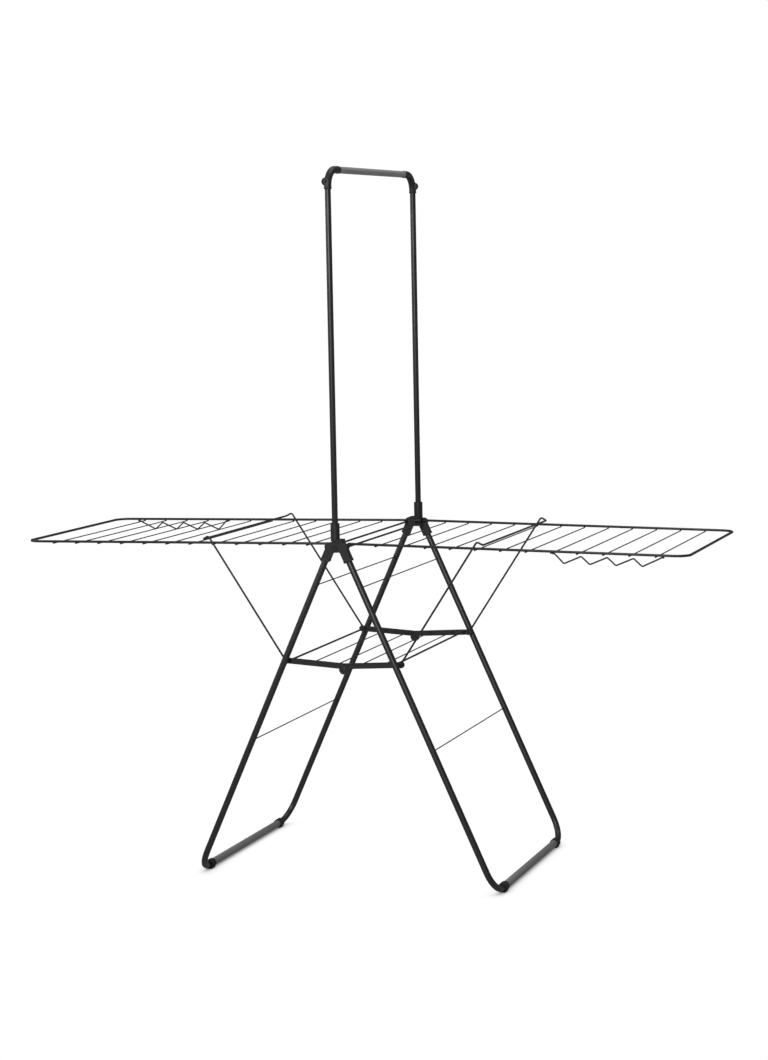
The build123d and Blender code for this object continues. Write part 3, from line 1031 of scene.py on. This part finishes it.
@dataclass
class RodFrame:
    """The lift-out hanging rod: uprights, elbows and the grey rod."""

    wardrobe: Wardrobe
    sleeve_radius: float = 8.6 * MM
    sleeve_inset: float = 19 * MM
    elbow_radius: float = 9.2 * MM
    elbow_bend: float = 42 * MM
    elbow_reach: float = 62 * MM
    knob_radius: float = 10 * MM
    knob_half: float = 8 * MM
    body: str = "rod_frame"

    def __post_init__(self) -> None:
        """Reads where the rod and the uprights stand."""
        self.centre = middle("hanging_rod")
        across = middle("upright_far") - middle("upright_near")
        across.z = 0.0
        self.along = across.normalized()

    def build(self) -> None:
        """Builds every piece of the hanging rod."""
        for name, way in (("near", 1), ("far", -1)):
            low, high = (Vector(v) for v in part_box(f"upright_{name}"))
            x, y = (low.x + high.x) / 2, (low.y + high.y) / 2
            mesh = bent_stock([Vector((x, y, low.z)), Vector((x, y, high.z))],
                              SIZES.upright_radius, sides=40)
            as_piece(f"upright_tube_{name}", mesh, self.body, Slot.TUBE, self.wardrobe,
                     (f"upright_{name}",))
            self.elbow(name, Vector((x, y, self.centre.z)), way)
        self.rod()
        as_piece("elbow_pan_screws", pan_screws("elbow_screws", facing=1), self.body, Slot.STEEL,
                 self.wardrobe, ("elbow_screws",))

    def elbow(self, name: str, corner: Vector, way: int) -> None:
        """Moulds one elbow with its collar and round boss.

        Args:
            name: near or far.
            corner: where the upright's axis meets the rod's.
            way: 1 or -1, which way the rod leaves along Y.
        """
        node = f"elbow_{name}"
        low, high = (Vector(v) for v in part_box(node))
        along, radius = self.along * way, self.elbow_radius
        points = [Vector((corner.x, corner.y, low.z)), corner, corner + along * self.elbow_reach]
        bend = bent_stock(points, radius, self.elbow_bend, sides=40, steps=18, round_end=0.14)
        rim = [(0, 0), (radius, 0), (radius + 0.5 * MM, 0.7 * MM), (radius + 0.5 * MM, 5 * MM),
               (radius, 6.2 * MM), (0, 6.2 * MM)]
        foot = lathed(rim, points[0], Vector((0, 0, 1)), 40)
        mouth = lathed(rim, points[2], -along, 40)
        as_piece(f"{node}_moulded", joined([bend, foot, mouth, self.knob(low, high, way)]),
                 self.body, Slot.PLASTIC, self.wardrobe, (node,))

    def knob(self, low: Vector, high: Vector, way: int) -> bmesh.types.BMesh:
        """The round boss on an elbow's outer side, with a rounded rim and dished faces.

        Args:
            low: lowest corner of the elbow's box.
            high: highest corner of the elbow's box.
            way: 1 on the near elbow, whose boss is on the low side of X, else -1.

        Returns:
            The boss, in place.
        """
        radius, half = self.knob_radius, self.knob_half
        rise = middle("elbow_screws").z
        x = low.x + radius if way > 0 else high.x - radius
        y = -way * abs(middle("upright_far").y)
        profile = [(0, -half + 0.8 * MM), (radius * 0.7, -half + 0.8 * MM), (radius * 0.76, -half),
                   (radius * 0.88, -half), (radius * 0.97, -half + 0.6 * MM),
                   (radius, -half + 1.6 * MM), (radius, half - 1.6 * MM),
                   (radius * 0.97, half - 0.6 * MM), (radius * 0.88, half), (radius * 0.76, half),
                   (radius * 0.7, half - 0.8 * MM), (0, half - 0.8 * MM)]
        return lathed(profile, Vector((x, y, rise)), Vector((0, 1, 0)), 40)

    def rod(self) -> None:
        """Makes the rod: a grey sleeve with its plug-in ends."""
        low, high = (Vector(v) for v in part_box("hanging_rod"))
        plug, radius, soft = SIZES.upright_radius, self.sleeve_radius, 0.6 * MM
        half = ((high.y - low.y) / 2 - plug * abs(self.along.x)) / self.along.y
        cut = half - self.sleeve_inset
        profile = [(0, -half), (plug - soft, -half), (plug, soft - half), (plug, -cut),
                   (radius - soft, -cut), (radius, soft - cut), (radius, 0), (radius, cut - soft),
                   (radius - soft, cut), (plug, cut), (plug, half - soft), (plug - soft, half),
                   (0, half)]
        mesh = lathed(profile, self.centre, self.along, 48)
        as_piece("hanging_rod_sleeved", mesh, self.body, Slot.ROD, self.wardrobe,
                 ("hanging_rod",))


# Studio --------------------------------------------------------------------------------


@dataclass(frozen=True)
class Lamp:
    """One soft round light that looks at the middle of the airer."""

    name: str
    place: tuple[float, float, float]
    size: float
    power: float


@dataclass(frozen=True)
class Studio:
    """White floor, soft lights and the camera."""

    camera_place: tuple[float, float, float] = (2.1047, -5.7852, 1.5466)
    yaw: float = -19.861
    pitch: float = -6.323
    roll: float = -1.11
    lens: float = 81.35
    sensor: float = 36.0
    floor_half: float = 60.0
    bounce: float = 0.32
    sky: float = 0.15
    lamps: tuple[Lamp, ...] = (
        Lamp("front_softbox", (0.2, -4.6, 2.6), 1.5, 135.0),
        Lamp("left_softbox", (-4.2, -1.6, 3.0), 1.2, 52.0),
        Lamp("top_softbox", (0.4, 0.6, 4.6), 2.2, 60.0),
    )

    def camera(self) -> None:
        """Sets up the camera."""
        yaw, pitch, roll = radians(self.yaw), radians(self.pitch), radians(self.roll)
        ahead = Vector((sin(yaw) * cos(pitch), cos(yaw) * cos(pitch), sin(pitch)))
        level = Vector((cos(yaw), -sin(yaw), 0.0))
        upward = level.cross(ahead)
        right = level * cos(roll) + upward * sin(roll)
        top = upward * cos(roll) - level * sin(roll)
        data = bpy.data.cameras.new("camera")
        data.sensor_width = self.sensor
        data.lens = self.lens
        data.clip_end = 200.0
        camera = bpy.data.objects.new("camera", data)
        bpy.context.scene.collection.objects.link(camera)
        turn = Matrix((right, top, -ahead)).transposed().to_4x4()
        camera.matrix_world = Matrix.Translation(self.camera_place) @ turn
        bpy.context.scene.camera = camera

    def floor_finish(self) -> bpy.types.Material:
        """White paper that glows. Its glow carries a painted contact shadow, darkened by an ambient
        occlusion node close under what stands on it. At a weaker strength the same glow lights the
        airer from below as painted bounce light.

        Returns:
            The floor's material.
        """
        material = bpy.data.materials.new("white_paper")
        material.use_nodes = True
        build = NodeBuilder(material.node_tree)
        # Painted contact shadow: ambient occlusion darkens the floor's glow near the airer's feet.
        near = build.add("ShaderNodeAmbientOcclusion", samples=24, Distance=0.22)
        tone = build.add("ShaderNodeMapRange", interpolation_type="SMOOTHSTEP")
        tone.inputs["From Min"].default_value = 0.0
        tone.inputs["From Max"].default_value = 0.97
        tone.inputs["To Min"].default_value = 0.12
        seen = build.add("ShaderNodeLightPath")
        strength = build.add("ShaderNodeMapRange")
        strength.inputs["To Min"].default_value = self.bounce
        strength.inputs["To Max"].default_value = 1.02
        # The floor's glow, with the painted contact shadow in its colour. For rays other than the
        # camera's it also lights the airer as painted bounce light.
        glow_with_painted_shadow = build.add("ShaderNodeEmission")
        out = build.add("ShaderNodeOutputMaterial")
        build.link(near.outputs["AO"], tone.inputs["Value"])
        build.link(tone.outputs["Result"], glow_with_painted_shadow.inputs["Color"])
        build.link(seen.outputs["Is Camera Ray"], strength.inputs["Value"])
        build.link(strength.outputs["Result"], glow_with_painted_shadow.inputs["Strength"])
        build.link(glow_with_painted_shadow.outputs[0], out.inputs["Surface"])
        return material

    def floor(self) -> None:
        """Lays the white floor."""
        mesh = bmesh.new()
        bmesh.ops.create_grid(mesh, x_segments=1, y_segments=1, size=self.floor_half)
        data = bpy.data.meshes.new("studio_floor")
        mesh.to_mesh(data)
        mesh.free()
        floor = bpy.data.objects.new("studio_floor", data)
        bpy.context.scene.collection.objects.link(floor)
        data.materials.append(self.floor_finish())

    def light(self, lamp: Lamp) -> None:
        """Adds one lamp, turned to the middle of the airer.

        Args:
            lamp: its name, place, size and power.
        """
        data = bpy.data.lights.new(lamp.name, "AREA")
        data.shape = "DISK"
        data.size = lamp.size
        data.energy = lamp.power
        piece = bpy.data.objects.new(lamp.name, data)
        bpy.context.scene.collection.objects.link(piece)
        place = Vector(lamp.place)
        turn = (Vector((0, 0, AIM_HEIGHT)) - place).to_track_quat("-Z", "Y").to_matrix().to_4x4()
        piece.matrix_world = Matrix.Translation(place) @ turn

    def surroundings(self) -> None:
        """White to the camera, dimmer as a light."""
        world = bpy.data.worlds.new("white_studio")
        world.use_nodes = True
        build = NodeBuilder(world.node_tree)
        seen = build.add("ShaderNodeLightPath")
        strength = build.add("ShaderNodeMapRange")
        strength.inputs["To Min"].default_value = self.sky
        strength.inputs["To Max"].default_value = 1.02
        sky = build.add("ShaderNodeBackground")
        sky.inputs["Color"].default_value = (1, 1, 1, 1)
        out = build.add("ShaderNodeOutputWorld")
        build.link(seen.outputs["Is Camera Ray"], strength.inputs["Value"])
        build.link(strength.outputs["Result"], sky.inputs["Strength"])
        build.link(sky.outputs[0], out.inputs["Surface"])
        bpy.context.scene.world = world
        bpy.context.scene.view_settings.view_transform = "Standard"

    def build(self) -> None:
        """Builds the studio."""
        self.camera()
        self.floor()
        self.surroundings()
        for lamp in self.lamps:
            self.light(lamp)


def main() -> None:
    """Builds the studio, then the airer, sub-assembly by sub-assembly."""
    logging.basicConfig(level=logging.INFO, format="%(name)s %(message)s")
    Studio().build()
    wardrobe = Wardrobe()
    for side in Side:
        LegFrame(side, wardrobe).build()
        Wing(side, wardrobe).build()
        Bow(side, wardrobe).build()
    Shelf(wardrobe).build()
    HingeCore(wardrobe).build()
    RodFrame(wardrobe).build()


if __name__ == "__main__":
    main()
